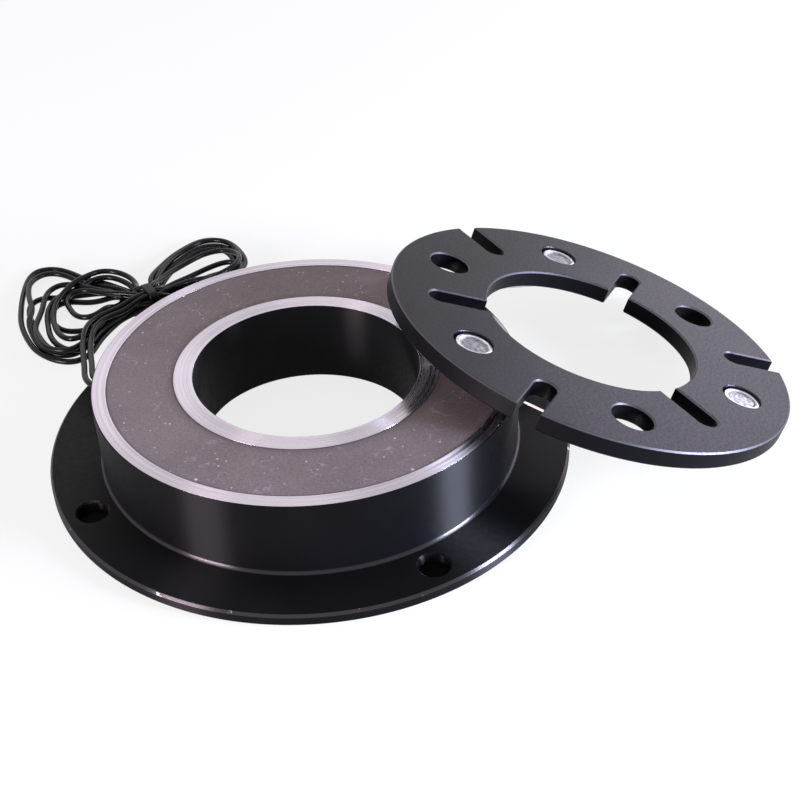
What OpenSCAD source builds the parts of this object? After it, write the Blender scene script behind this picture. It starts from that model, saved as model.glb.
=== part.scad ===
// Electromagnetic brake, flange mounted: a ring shaped stator with its coil and friction
// lining, and a loose armature plate with leaf springs that leans on the stator's rim.
// Origin: centre of the bore on the flange's mounting face. Z is the bore axis.

/* [Stator body] */
// How far the mounting flange stands out all round the body
flange_rim = 12.5; // [10:0.5:18]
// Thickness of the flange
flange_t = 3; // [2:0.1:5]
// Chamfer on the flange's outer edge
flange_chamfer = 0.5; // [0.2:0.1:0.9]
// Diameter of the body that stands on the flange
body_d = 100; // [96:0.5:102]
// Height from the mounting face to the pole faces
body_h = 21.7; // [19:0.1:26]
// Width of the outer pole ring
outer_pole_w = 3.4; // [2.5:0.1:5]
// Outer diameter of the inner pole ring
inner_pole_d = 62.2; // [59:0.1:66]
// Diameter of the bore
bore_d = 53; // [48:0.5:56]
// Thickness of the base under the coil
base_t = 4.5; // [3.5:0.1:6]
// Fillet where the body meets the flange
foot_r = 0.7; // [0.3:0.1:1.5]
// Chamfer at the foot of the bore
bore_chamfer = 0.75; // [0.3:0.05:1.5]
// Small chamfer on the edges of the pole faces
pole_chamfer = 0.25; // [0.1:0.05:0.5]

/* [Flange holes] */
// How far the mounting holes lie outside the middle of the flange's rim
bolt_offset = -0.25; // [-0.5:0.05:0.5]
// Diameter of a mounting hole
bolt_hole_d = 7; // [5:0.5:8]
// Number of mounting holes
bolt_count = 4; // [3:1:8]
// Angle of the first mounting hole from +X
bolt_turn = 45; // [30:1:60]
// Chamfer on the mounting holes
bolt_chamfer = 0.4; // [0.2:0.1:0.8]

/* [Lining and coil] */
// Thickness of the friction lining
lining_t = 2.5; // [1.5:0.1:3.5]
// How far the lining lies under the pole faces
lining_sink = 0.1; // [0:0.05:0.3]
// Thickness of the resin that seals the coil in
potting_t = 1.6; // [1:0.1:2.5]
// Gap between the bobbin and the walls of its groove
coil_gap = 0.3; // [0.1:0.05:0.6]
// Wall of the bobbin
bobbin_wall = 0.8; // [0.5:0.1:1.2]
// Thickness of the tape wound round the coil
tape_t = 0.4; // [0.2:0.1:0.8]

/* [Lead exit] */
// Diameter of one insulated lead
lead_d = 1.6; // [1.2:0.1:2]
// Distance between the two leads where they come out
lead_pitch = 2; // [1.8:0.1:2.6]
// Height of the lead exit over the mounting face
lead_z = 8; // [7.5:0.1:10]
// Diameter of the exit hole in the body's wall
exit_d = 6; // [5:0.1:6.5]
// Diameter of the grommet's lip
lip_d = 8; // [7:0.1:8.4]
// How far the lip stands out from the body's wall
lip_t = 1.2; // [0.8:0.1:2]

/* [Lead hank] */
// Height of the two lobes of the hank
hank_h = 7; // [6.5:0.5:10]
// Radius of the wide lobe
wide_lobe_r = 20; // [15:0.5:21.5]
// Radius of the slim lobe
slim_lobe_r = 12; // [8:0.5:13]
// Width of the bunched leads at the tie
neck_w = 6.4; // [5:0.2:9]
// Width of the tie's band
tie_w = 2.5; // [2:0.1:4]
// Thickness of the tie's band
tie_t = 0.8; // [0.6:0.1:1.2]
// Length of a stripped lead end
bare_len = 7; // [5:0.5:10]
// Diameter of a stripped lead end
bare_d = 0.8; // [0.6:0.1:1]

/* [Armature plate] */
// Outer diameter of the plate
plate_d = 102.4; // [98:0.2:108]
// Diameter of the plate's bore
plate_bore_d = 54; // [50:0.5:58]
// Thickness of the plate
plate_t = 4.4; // [3.6:0.1:6]
// Chamfer on the plate's edges
plate_chamfer = 0.4; // [0.2:0.05:0.7]
// Pitch circle diameter of the screw holes and rivets
pattern_d = 78.6; // [76:0.2:82]
// Diameter of the holes that the screw heads pass through
head_hole_d = 10; // [8:0.2:11]
// Width of the slots
slot_w = 5.6; // [4:0.1:7]
// Radius that the slots open to the bore reach out to
bore_slot_r = 42; // [38:0.2:45]
// Radius that the slots open to the rim reach in to
rim_slot_r = 36.4; // [34:0.2:40]

/* [Leaf springs and rivets] */
// Thickness of a leaf spring
spring_t = 0.6; // [0.4:0.1:0.8]
// Width of a leaf spring between its eyes
spring_w = 8; // [6:0.2:10]
// Diameter of a leaf spring's eyes
eye_d = 11.2; // [10:0.2:12]
// Diameter of the screw hole in a leaf spring
screw_d = 5.5; // [4.5:0.1:6.5]
// Thickness of the spacer between plate and spring
spacer_t = 1.6; // [1:0.1:2]
// Diameter of the spacer
spacer_d = 9; // [8:0.2:11]
// Diameter of a rivet's shank
rivet_d = 5; // [4:0.1:5.6]
// Diameter of a rivet's flat head
rivet_head_d = 9.3; // [8:0.1:9.6]
// Thickness of a rivet's head and of its closed end
rivet_head_t = 1.1; // [0.8:0.1:1.2]
// Diameter of a rivet's closed end
rivet_tail_d = 7.4; // [6.6:0.1:8]
// Diameter of the counterbore over a rivet's head
sink_d = 9.9; // [9.8:0.1:10.6]
// How far a rivet's head lies under the friction face
sink_depth = 0.9; // [0.4:0.1:1.4]

/* [Resting place of the plate] */
// Tilt of the plate as it leans on the stator
lean_tilt = 18.4; // [16:0.1:20]
// Direction in which the plate slopes down
lean_dir = 29.6; // [0:0.2:60]
// Sideways shift of the plate across its slope
lean_shift = -2.9; // [-4:0.1:0]
// Gap left where the plate's springs touch the stator's rim
rest_gap = 0.05; // [0:0.01:0.2]

/* [Hidden] */
$fn = 96;
eps = 0.01;

// How much lower the straight chamfers of a slot start than its round one
slot_blend = 0.05;

// How far a cutter runs past the faces that it cuts through
over = 1;

// Radii of the stator
body_r = body_d / 2;
bore_r = bore_d / 2;
flange_r = body_r + flange_rim;
bolt_circle_r = body_r + flange_rim / 2 + bolt_offset;
groove_out_r = body_r - outer_pole_w;
groove_in_r = inner_pole_d / 2;

// Heights of the stacked rings in the groove
lining_top = body_h - lining_sink;
lining_z = lining_top - lining_t;
potting_z = lining_z - potting_t;
bobbin_h = potting_z - base_t;
bobbin_in_r = groove_in_r + coil_gap;
bobbin_out_r = groove_out_r - coil_gap;
winding_in_r = bobbin_in_r + bobbin_wall;
winding_out_r = bobbin_out_r - tape_t;
winding_z = base_t + bobbin_wall;
winding_h = bobbin_h - 2 * bobbin_wall;
lip_x = body_r + lip_t;

// Gap round the leads where they pass through the tape, and how far the grommet stands
// into the groove
tape_gap = 0.4;
plug_in = 0.2;

// Places of the pattern on the armature plate, counted from its downhill side
pattern_r = pattern_d / 2;
pattern_count = 3;
sector = 360 / pattern_count;
head_hole_angle = 20;
rivet_angle = head_hole_angle + sector / 2;
bore_slot_angle = head_hole_angle + sector / 4;
rim_slot_angle = rivet_angle + sector / 4;
spring_drop = spacer_t + spring_t;

function on_circle(r, a) = [r * cos(a), r * sin(a)];
function rivet_at(i) = on_circle(pattern_r, rivet_angle + i * sector);
function eye_at(i) = on_circle(pattern_r, head_hole_angle + (i + 1) * sector);

// Low edges of the tilted plate that could meet the stator's rim, as in-plane x and y
// and the depth under the plate: the leaf springs' long sides and eyes, the rivets'
// closed ends and the bore
spring_sides = [for (i = [0 : pattern_count - 1], t = [0 : 0.01 : 1], s = [-1, 1])
    let (a = rivet_at(i), b = eye_at(i), d = (b - a) / norm(b - a))
    [each (a + t * (b - a) + s * spring_w / 2 * [-d[1], d[0]]), spring_drop]];
spring_eyes = [for (i = [0 : pattern_count - 1], a = [0 : 5 : 355])
    [each (eye_at(i) + on_circle(eye_d / 2, a)), spring_drop]];
rivet_ends = [for (i = [0 : pattern_count - 1], a = [0 : 5 : 355])
    [each (rivet_at(i) + on_circle(rivet_tail_d / 2, a)), spring_drop + rivet_head_t]];
bore_edge = [for (a = [0 : 2 : 358]) [each on_circle(plate_bore_d / 2, a), 0]];
low_edges = concat(spring_sides, spring_eyes, rivet_ends, bore_edge);

// The plate's low rim stands on the floor, and the plate slides in until it touches the rim
plate_z = (plate_d / 2 - plate_chamfer) * sin(lean_tilt);
function edge_height(p) = plate_z - p[0] * sin(lean_tilt) - p[2] * cos(lean_tilt);
function edge_across(p) = lean_shift + p[1];
function edge_reach(p) = sqrt(body_r * body_r - edge_across(p) * edge_across(p))
    - p[0] * cos(lean_tilt) + p[2] * sin(lean_tilt);
plate_x = rest_gap + max([for (p = low_edges)
    if (edge_height(p) < body_h && abs(edge_across(p)) < body_r) edge_reach(p)]);

// The leads' free stretch from the grommet to the hank
lead_route = [[-lip_x, 0, lead_z], [-54.6, 0, 8], [-57.8, 1.3, 8], [-60.4, 4.4, 8],
    [-62.4, 8.4, 7.9], [-64.7, 12.5, 7.6], [-67.1, 17, 7], [-69.2, 21.5, 6.2],
    [-70.7, 26.3, 5.6], [-70.8, 28.4, 5.3]];
lead_lift = [[0, lead_pitch / 2, 0], [0, lead_pitch / 2, 0], [0.45, 0.85, 0],
    [0.85, 0.5, 0], [0.9, 0.45, 0], [0.9, 0.45, 0], [0.9, 0.4, 0], [0.95, 0.35, 0],
    [1, 0.1, 0], [1, -0.1, 0]];
lead_sides = 8;

// The hank on the floor: its tie, the middle of each lobe, and the place and turn of the bare
// ends, which come out at a share of the way along the slim lobe's side
tie_at = [-61.8, 46.8];
tie_turn = 46;
wide_lobe_at = [-84.5, 40.5];
slim_lobe_at = [-54.5, 74.7];
neck_len = 11;
neck_z = 0.8;
neck_h = 5.8;
tie_head = [3.8, 2.2, 3.2];
bare_shares = [0.1, 0.45];
bare_turns = [38, 45];
bare_z = 0.9;
bare_root = 0.5;

// Point on the slim lobe's side towards the body, at share t from the neck to the lobe
function slim_side(t) =
    let (start = tie_at + on_circle(neck_len / 2, tie_turn), run = slim_lobe_at - start,
        open = asin((slim_lobe_r - neck_w / 2) / norm(run)),
        out = atan2(run.y, run.x) - 90 - open)
    start + t * run + on_circle((1 - t) * neck_w / 2 + t * slim_lobe_r, out);

// Unit vector along a path at point i
function along(path, i) =
    let (a = path[max(i - 1, 0)], b = path[min(i + 1, len(path) - 1)]) (b - a) / norm(b - a);

// A round tube swept along a path of points, as one closed polyhedron
module tube(path, d, sides) {
    rings = len(path);
    points = [for (i = [0 : rings - 1], k = [0 : sides - 1])
        let (t = along(path, i),
            u = cross(t, [0, 0, 1]) / norm(cross(t, [0, 0, 1])),
            v = cross(u, t),
            a = 360 * k / sides)
        path[i] + d / 2 * (cos(a) * u + sin(a) * v)];
    walls = [for (i = [0 : rings - 2], k = [0 : sides - 1])
        let (n = (k + 1) % sides, p = i * sides, q = (i + 1) * sides)
        [p + k, p + n, q + n, q + k]];
    ends = [[for (k = [sides - 1 : -1 : 0]) k],
        [for (k = [0 : sides - 1]) (rings - 1) * sides + k]];
    polyhedron(points, concat(walls, ends), convexity = 6);
}

// A ring with a square section
module flat_ring(out_r, in_r, z, h) {
    translate([0, 0, z])
        difference() {
            cylinder(r = out_r, h = h);
            translate([0, 0, -over]) cylinder(r = in_r, h = h + 2 * over);
        }
}

// A through hole in a plate of thickness t, chamfered on both faces
module chamfered_hole(d, t, c) {
    translate([0, 0, -over]) cylinder(d = d, h = t + 2 * over);
    translate([0, 0, t - c]) cylinder(d1 = d, d2 = d + 2 * c + 2 * eps, h = c + eps);
    translate([0, 0, -eps]) cylinder(d1 = d + 2 * c + 2 * eps, d2 = d, h = c + eps);
}

// Half section of the yoke: flange, pole rings and the groove for the coil
module yoke_section() {
    difference() {
        union() {
            polygon([[0, 0], [flange_r - flange_chamfer, 0], [flange_r, flange_chamfer],
                [flange_r, flange_t - flange_chamfer], [flange_r - flange_chamfer, flange_t],
                [0, flange_t]]);
            polygon([[0, 0], [body_r, 0], [body_r, body_h - pole_chamfer],
                [body_r - pole_chamfer, body_h], [0, body_h]]);
            translate([body_r - eps, flange_t - eps])
                difference() {
                    square(foot_r + eps);
                    translate([foot_r + eps, foot_r + eps]) circle(r = foot_r);
                }
        }
        polygon([[-over, -over], [bore_r + bore_chamfer + over, -over],
            [bore_r, bore_chamfer], [bore_r, body_h - pole_chamfer],
            [bore_r + pole_chamfer + over, body_h + over], [-over, body_h + over]]);
        translate([groove_in_r, base_t])
            square([groove_out_r - groove_in_r, body_h]);
    }
}

// Runs its children out through the wall on the -X side at the lead exit
module at_exit() {
    translate([0, 0, lead_z]) rotate([0, -90, 0]) children();
}

module yoke() {
    color([0.1, 0.1, 0.11])
        difference() {
            rotate_extrude() yoke_section();
            for (i = [0 : bolt_count - 1])
                rotate([0, 0, bolt_turn + i * 360 / bolt_count])
                    translate([bolt_circle_r, 0, 0])
                        chamfered_hole(bolt_hole_d, flange_t, bolt_chamfer);
            at_exit()
                translate([0, 0, groove_out_r - over])
                    cylinder(d = exit_d, h = outer_pole_w + 2 * over);
        }
}

module coil_bobbin() {
    color("ivory")
        rotate_extrude()
            difference() {
                translate([bobbin_in_r, base_t])
                    square([bobbin_out_r - bobbin_in_r, bobbin_h]);
                translate([winding_in_r, winding_z])
                    square([bobbin_out_r, winding_h]);
            }
}

module coil_winding() {
    color("peru") flat_ring(winding_out_r, winding_in_r, winding_z, winding_h);
}

module coil_tape() {
    color("gold")
        difference() {
            flat_ring(bobbin_out_r, winding_out_r, winding_z, winding_h);
            at_exit()
                translate([0, 0, winding_out_r - over])
                    cylinder(d = lead_pitch + lead_d + 2 * tape_gap, h = tape_t + 2 * over);
        }
}

module potting_resin() {
    color("darkslategray") flat_ring(groove_out_r, groove_in_r, potting_z, potting_t);
}

module friction_lining() {
    color([0.38, 0.34, 0.35]) flat_ring(groove_out_r, groove_in_r, lining_z, lining_t);
}

// Rubber grommet in the wall, with a lip that lies against the outside of the body
module lead_grommet() {
    color([0.06, 0.06, 0.06])
        difference() {
            at_exit() {
                translate([0, 0, groove_out_r - plug_in])
                    cylinder(d = exit_d, h = plug_in + outer_pole_w + lip_t / 2);
                difference() {
                    translate([0, 0, body_r - over]) cylinder(d = lip_d, h = lip_t + over);
                    rotate([0, 90, 0]) translate([0, 0, -lip_d])
                        cylinder(r = body_r, h = 2 * lip_d);
                }
            }
            for (s = [-1, 1])
                at_exit()
                    translate([0, s * lead_pitch / 2, groove_out_r - plug_in - over])
                        cylinder(d = lead_d, h = plug_in + outer_pole_w + lip_t + 2 * over);
        }
}

// The stretch of both leads inside the wall, from the coil to the grommet's lip
module lead_tails() {
    color([0.03, 0.03, 0.03])
        difference() {
            for (s = [-1, 1])
                at_exit()
                    translate([0, s * lead_pitch / 2, winding_out_r - over])
                        cylinder(d = lead_d, h = lip_x - winding_out_r + over);
            cylinder(r = winding_out_r, h = body_h);
        }
}

module lead_a() {
    color([0.03, 0.03, 0.03]) tube(lead_route + lead_lift, lead_d, lead_sides);
}

module lead_b() {
    color([0.03, 0.03, 0.03]) tube(lead_route - lead_lift, lead_d, lead_sides);
}

// One lobe of the hank: from the neck's round end out to the lobe's middle
module hank_lobe(middle, r, side) {
    linear_extrude(hank_h)
        hull() {
            translate(middle) circle(r = r, $fn = 32);
            translate(tie_at + side * on_circle(neck_len / 2, tie_turn))
                circle(d = neck_w, $fn = 32);
        }
}

module lead_hank() {
    color([0.05, 0.05, 0.05]) {
        hank_lobe(wide_lobe_at, wide_lobe_r, -1);
        hank_lobe(slim_lobe_at, slim_lobe_r, 1);
        translate([each tie_at, neck_z]) rotate([0, 0, tie_turn])
            translate([-neck_len / 2, -neck_w / 2, 0])
                cube([neck_len, neck_w, neck_h]);
    }
}

// Band round the neck of the hank, with its small square head on the side towards the body
module lead_tie() {
    color([0.08, 0.08, 0.08])
        translate([each tie_at, neck_z]) rotate([0, 0, tie_turn]) {
            difference() {
                translate([-tie_w / 2, -neck_w / 2 - tie_t, -neck_z])
                    cube([tie_w, neck_w + 2 * tie_t, neck_h + neck_z + tie_t]);
                translate([-tie_w, -neck_w / 2, 0]) cube([2 * tie_w, neck_w, neck_h]);
            }
            translate([-tie_head[0] / 2, -neck_w / 2 - tie_t - tie_head[1], (neck_h - tie_head[2]) / 2])
                cube(tie_head);
        }
}

module bare_end(i) {
    color("silver")
        translate([each slim_side(bare_shares[i]), bare_z])
            rotate([0, 90, bare_turns[i]])
                translate([0, 0, -bare_root]) cylinder(d = bare_d, h = bare_len + bare_root);
}

// Puts what is built flat on z = 0 into the plate's leaning place
module on_slope() {
    rotate([0, 0, lean_dir])
        translate([plate_x, lean_shift, plate_z])
            rotate([0, lean_tilt, 0]) children();
}

// A slot cut from radius r0 to r1 along +X: round at r0, open at r1, chamfered on both faces.
// The straight chamfers start a hair lower than the round ones, so that they cross.
module slot_cut(r0, r1) {
    flip = r1 > r0 ? 0 : 1;
    c = plate_chamfer;
    half = slot_w / 2 - slot_blend;
    run = abs(r1 - r0) - slot_w / 2 + 2 * over;
    translate([r0, 0, 0]) mirror([flip, 0, 0]) translate([slot_w / 2, 0, 0]) {
        translate([0, 0, -over])
            linear_extrude(plate_t + 2 * over) {
                circle(d = slot_w);
                translate([0, -slot_w / 2]) square([run, slot_w]);
            }
        for (face = [0, 1])
            translate([0, 0, face * plate_t]) mirror([0, 0, face]) {
                translate([0, 0, -over])
                    cylinder(d1 = slot_w + 2 * (c + over), d2 = slot_w, h = c + over);
                rotate([90, 0, 90])
                    linear_extrude(run)
                        polygon([[-half, c], [-half - c - over, -over],
                            [half + c + over, -over], [half, c]]);
            }
    }
}

module armature_plate() {
    c = plate_chamfer;
    out_r = plate_d / 2;
    in_r = plate_bore_d / 2;
    color([0.24, 0.24, 0.28])
        on_slope()
            difference() {
                rotate_extrude()
                    polygon([[in_r, c], [in_r + c, 0], [out_r - c, 0], [out_r, c],
                        [out_r, plate_t - c], [out_r - c, plate_t],
                        [in_r + c, plate_t], [in_r, plate_t - c]]);
                for (i = [0 : pattern_count - 1]) {
                    rotate([0, 0, head_hole_angle + i * sector])
                        translate([pattern_r, 0, 0]) chamfered_hole(head_hole_d, plate_t, c);
                    rotate([0, 0, bore_slot_angle + i * sector])
                        slot_cut(bore_slot_r, in_r);
                    rotate([0, 0, rim_slot_angle + i * sector])
                        slot_cut(rim_slot_r, out_r);
                    translate([each rivet_at(i), -over])
                        cylinder(d = rivet_d, h = plate_t + 2 * over);
                    translate([each rivet_at(i), plate_t - sink_depth - rivet_head_t])
                        cylinder(d = sink_d, h = plate_t);
                }
            }
}

// Flat spring strip with an eye at the rivet and an eye for the hub's screw
module leaf_spring(i) {
    a = rivet_at(i);
    b = eye_at(i);
    turn = atan2(b[1] - a[1], b[0] - a[0]);
    color([0.62, 0.62, 0.6])
        on_slope()
            translate([0, 0, -spring_drop])
                linear_extrude(spring_t)
                    difference() {
                        union() {
                            translate(a) circle(d = eye_d);
                            translate(b) circle(d = eye_d);
                            translate(a) rotate(turn) translate([0, -spring_w / 2])
                                square([norm(b - a), spring_w]);
                        }
                        translate(a) circle(d = rivet_d);
                        translate(b) circle(d = screw_d);
                    }
}

module spring_spacer(i) {
    color("gray")
        on_slope()
            translate([each rivet_at(i), -spacer_t])
                difference() {
                    cylinder(d = spacer_d, h = spacer_t);
                    translate([0, 0, -over]) cylinder(d = rivet_d, h = spacer_t + 2 * over);
                }
}

// Rivet through plate, spacer and spring: flat head above, closed end below
module rivet(i) {
    head_z = plate_t - sink_depth - rivet_head_t;
    color([0.75, 0.76, 0.78])
        on_slope()
            translate(rivet_at(i)) {
                translate([0, 0, head_z]) cylinder(d = rivet_head_d, h = rivet_head_t);
                translate([0, 0, -spring_drop - eps])
                    cylinder(d = rivet_d, h = spring_drop + head_z + 2 * eps);
                translate([0, 0, -spring_drop - rivet_head_t])
                    cylinder(d = rivet_tail_d, h = rivet_head_t);
            }
}

yoke();
coil_bobbin();
coil_winding();
coil_tape();
potting_resin();
friction_lining();
lead_grommet();
lead_tails();
lead_a();
lead_b();
lead_hank();
lead_tie();
bare_end(0);  // bare_end_a
bare_end(1);  // bare_end_b
armature_plate();
leaf_spring(0);  // leaf_spring_1
leaf_spring(1);  // leaf_spring_2
leaf_spring(2);  // leaf_spring_3
spring_spacer(0);  // spring_spacer_1
spring_spacer(1);  // spring_spacer_2
spring_spacer(2);  // spring_spacer_3
rivet(0);  // rivet_1
rivet(1);  // rivet_2
rivet(2);  // rivet_3
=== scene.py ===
import math

import bpy
import numpy as np
from mathutils import Matrix, Vector


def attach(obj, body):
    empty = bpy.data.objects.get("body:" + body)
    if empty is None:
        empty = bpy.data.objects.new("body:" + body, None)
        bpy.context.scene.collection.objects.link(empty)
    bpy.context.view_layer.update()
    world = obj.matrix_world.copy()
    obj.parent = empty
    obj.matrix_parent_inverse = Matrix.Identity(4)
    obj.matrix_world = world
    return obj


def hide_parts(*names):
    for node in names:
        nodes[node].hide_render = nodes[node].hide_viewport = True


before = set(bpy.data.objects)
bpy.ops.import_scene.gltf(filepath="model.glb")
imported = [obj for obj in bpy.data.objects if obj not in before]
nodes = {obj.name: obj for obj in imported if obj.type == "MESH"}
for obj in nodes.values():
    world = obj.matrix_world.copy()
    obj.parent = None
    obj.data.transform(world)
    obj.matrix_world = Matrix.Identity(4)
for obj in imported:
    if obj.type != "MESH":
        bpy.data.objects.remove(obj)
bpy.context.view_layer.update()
scene = bpy.context.scene
mm = 0.001
print("frame loaded:", len(nodes), "parts")

# Camera, in metres, degrees and mm of lens and sensor
view = {
    "place": (0.08514, -0.23392, 0.19419),
    "heading": 104.988,
    "pitch": -36.445,
    "roll": -1.7207,
    "lens": 57.83,
    "sensor": 36,
    "clip": (0.01, 20),
}


def makeCamera(v):
    h, p, roll = (math.radians(v[k]) for k in ("heading", "pitch", "roll"))
    ahead = Vector((math.cos(h) * math.cos(p), math.sin(h) * math.cos(p), math.sin(p)))
    level = Vector((math.sin(h), -math.cos(h), 0))
    upward = level.cross(ahead)
    right = math.cos(roll) * level + math.sin(roll) * upward
    up = math.cos(roll) * upward - math.sin(roll) * level
    data = bpy.data.cameras.new("camera")
    data.lens = v["lens"]
    data.sensor_width = v["sensor"]
    data.clip_start, data.clip_end = v["clip"]
    cam = bpy.data.objects.new("camera", data)
    cam.matrix_world = Matrix.Translation(v["place"]) @ Matrix((right, up, -ahead)).transposed().to_4x4()
    scene.collection.objects.link(cam)
    scene.camera = cam


makeCamera(view)

# Leads: two wires that come out of the body and lie in a tied hank, in mm
lead = {
    "thick": 1.6,
    "tieAt": (-61.8, 46.8),
    "tieTurn": 46,
    # the free stretch from the body to the tie, and how far each wire lies beside it
    "free": [(-51.2, 0, 8), (-54.6, 0, 8), (-57.8, 1.3, 8), (-60.4, 4.4, 8), (-62.4, 8.4, 7.9), (-64.7, 12.5, 7.6),
             (-67.1, 17, 7), (-69.2, 21.5, 6.2), (-70.7, 26.3, 5.6), (-70.8, 31, 5), (-69.2, 35.2, 4.4),
             (-66.5, 39.5, 3.8)],
    "spread": [(0, 1, 0), (0, 1, 0), (0.45, 0.85, 0), (0.85, 0.5, 0), (0.9, 0.45, 0), (0.9, 0.45, 0), (0.9, 0.4, 0),
               (0.95, 0.35, 0), (1, 0.1, 0), (1, -0.15, 0), (0.85, -0.5, 0), (0.7, -0.6, 0)],
    # height of the lowest row of wires in the tie, and of each row above the one under it
    "rowBase": 1.6,
    "rowRise": 1.386,
    # half of the straight stretch in the tie, and the fold beside it as offsets across and along the tie
    "tieRun": 1.8,
    "fold": [(2.1, 3.4), (0, 0), (3, -3.6)],
    # height of the last round, and the distance between a line's points
    "lowZ": 0.9,
    "step": 1.0,
}
# outlines of the wide lobe as they show in the photo, from the tie's far side round to its near side
outer = [(-70.5, 52.5), (-74.5, 54), (-78.5, 55.5), (-82, 56.5), (-85.5, 57), (-89, 58), (-93.5, 60), (-97.5, 61),
         (-101, 60.5), (-103.5, 58.5), (-103.5, 54), (-101.5, 47.5), (-98.5, 40), (-94, 31.5), (-88.5, 25),
         (-82.5, 20), (-76.5, 17.5), (-72, 18), (-70, 21.5), (-70.5, 28.5), (-70, 35), (-68, 41.5)]
second = [(-69.5, 50), (-73.5, 51.5), (-77.5, 53), (-81.5, 54), (-85, 54.5), (-88, 55), (-92, 57), (-96, 58),
          (-99.5, 57.5), (-101.5, 54.5), (-101.5, 50), (-99, 45), (-96, 40.5), (-93, 36.5), (-91.5, 31.5),
          (-87.5, 26), (-82.5, 21), (-77.5, 19), (-73, 19.5), (-71, 23), (-71, 29.5), (-71, 36), (-68, 42)]
third = [(-68.5, 47), (-72, 48), (-76, 49), (-79.5, 50), (-83, 50.5), (-86.5, 51.5), (-90, 52.5), (-93.5, 52),
         (-94.5, 48), (-93.5, 43.5), (-91.5, 38.5), (-90, 33.5), (-88.5, 28.5), (-85, 23.5), (-81, 20), (-77, 19),
         (-73, 19.5), (-71, 23), (-71, 28.5), (-70.5, 35), (-68, 41)]
lowHump = [(-69, 50.3), (-72, 54), (-76, 56.5), (-80, 57.5), (-83, 56), (-84.5, 53.5), (-86, 50), (-88, 46.5),
           (-89, 43.5), (-89, 40), (-87.5, 35), (-85, 30), (-82, 25), (-77.5, 20.5), (-73.5, 19), (-71.5, 21),
           (-70.5, 25), (-70.5, 30), (-69.5, 35), (-67, 40.5)]
hump = [(-69, 50.8), (-72, 55), (-76.5, 58), (-80, 58.5), (-83, 57.5), (-84.5, 54.5), (-86, 51), (-87, 47),
        (-87.5, 42.5), (-87, 38), (-85, 33), (-82, 28), (-78.5, 24), (-74, 21), (-71, 21.5), (-70, 25), (-69.5, 29),
        (-68.5, 33.5)]
stray = [(-68, 47), (-72, 47), (-76.5, 47.7), (-81, 49), (-84.7, 48.9), (-86.7, 46.2), (-85.6, 42.2), (-82.5, 38.5),
         (-79.5, 35.5), (-76.5, 34), (-73.5, 34), (-71.5, 35.5), (-70, 38)]
# the last round of each wire turns back before the tie and lies under the others
backA = [(-69.5, 42), (-68, 45.5), (-68, 49), (-71, 52), (-75, 52), (-79, 51.5), (-83, 50), (-86.5, 48.5),
         (-89.5, 47), (-93, 46.3), (-95.9, 44.8), (-96.8, 41.3), (-95, 36.5), (-91, 31), (-86.5, 25.5), (-82, 21.5),
         (-77.5, 20.5), (-74.5, 22), (-73, 26), (-72.5, 31), (-72, 35.5), (-70, 41)]
backB = [(-69.5, 42.5), (-67.6, 45.2), (-67.5, 48.3), (-69.6, 50.6), (-72.8, 50.2), (-75.8, 47.8), (-79.5, 46),
         (-83, 45.5), (-86.5, 45), (-89, 43), (-89, 39.5), (-87, 35), (-84, 32), (-80.5, 30.5), (-77, 31),
         (-74, 32.5), (-72.5, 36), (-70.5, 41.5)]
# outlines of the slim lobe: its outer side and the loop that lies lowest
slim = [(-57, 51), (-52.5, 57), (-48, 62.3), (-44.6, 67), (-44, 72.8), (-47.8, 80), (-54.3, 86.2), (-61, 86),
        (-65.5, 77.5), (-66.5, 67), (-65.3, 57)]
lowSlim = [(-57.5, 50.5), (-53.5, 56), (-49.8, 60), (-46.2, 63.2), (-43.4, 67), (-44.3, 71), (-48.5, 71.8),
           (-52.8, 68.3), (-56.3, 63), (-59.5, 57.5), (-61.3, 52.5)]
# rounds of the two wires: how far in each slim loop lies, its height, the wide loops and their height,
# and the row and offset in the tie before and after the slim loop
rounds = [
    {"in": (0.0, 0.09), "slimZ": 3.6, "wide": (outer, second), "wideZ": 1.5, "near": [(3, -1.6), (3, 0)],
     "far": [(0, 0.8), (0, 2.4)]},
    {"in": (0.18, 0.27), "slimZ": 2.2, "wide": (third, lowHump), "wideZ": 2.9, "near": [(1, -1.6), (1, 0)],
     "far": [(1, 1.6), (2, 2.4)]},
    {"in": (0.55, 1.0), "slimZ": 4.3, "wide": (hump, stray), "wideZ": 4.3, "near": [(2, -2.4), (2, -0.8)],
     "far": [(3, 1.6), (2, 0.8)]},
]
# the last round, its places in the tie, and the free end
back = [
    {"loop": backA, "near": (0, -2.4), "end": [(-56.2, 49.2, 1.3), (-54.1, 51.1, 0.9)]},
    {"loop": backB, "near": (0, -0.8), "end": [(-56.6, 51.2, 1.2), (-53.2, 54.9, 0.9), (-50.2, 58, 0.9)]},
]
# how the loops settle: distances between wires in thicknesses, other lengths in mm
settling = {
    "steps": 600,
    "searchEvery": 10,
    "block": 200,
    "searchReach": 2.2,
    "apart": 1.03,
    # points of one wire that lie this many apart along it, or fewer, are neighbours
    "sameWire": 8,
    "push": 0.45,
    "share": 0.6,
    # the loops sink until this part of the steps is done
    "sink": 0.03,
    "sinkUntil": 0.8,
    "back": 0.998,
    # points in the tie, this far along and across it, move less, and a wire's first and last points stay
    "tieHalf": (1.4, 4),
    "tieHold": 0.7,
    "heldPoints": (6, 3),
    # tighter bends are opened after this part of the steps
    "leastBend": 3.4,
    "bendFrom": 0.6,
    "bendPull": 0.6,
}


def tiePoint(place, ahead):
    # place is the row in the tie and the offset across it
    row, side = place
    a = math.radians(lead["tieTurn"])
    x, y = lead["tieAt"]
    return (x + ahead * math.cos(a) - side * math.sin(a), y + ahead * math.sin(a) + side * math.cos(a),
            lead["rowBase"] + row * lead["rowRise"])


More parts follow.
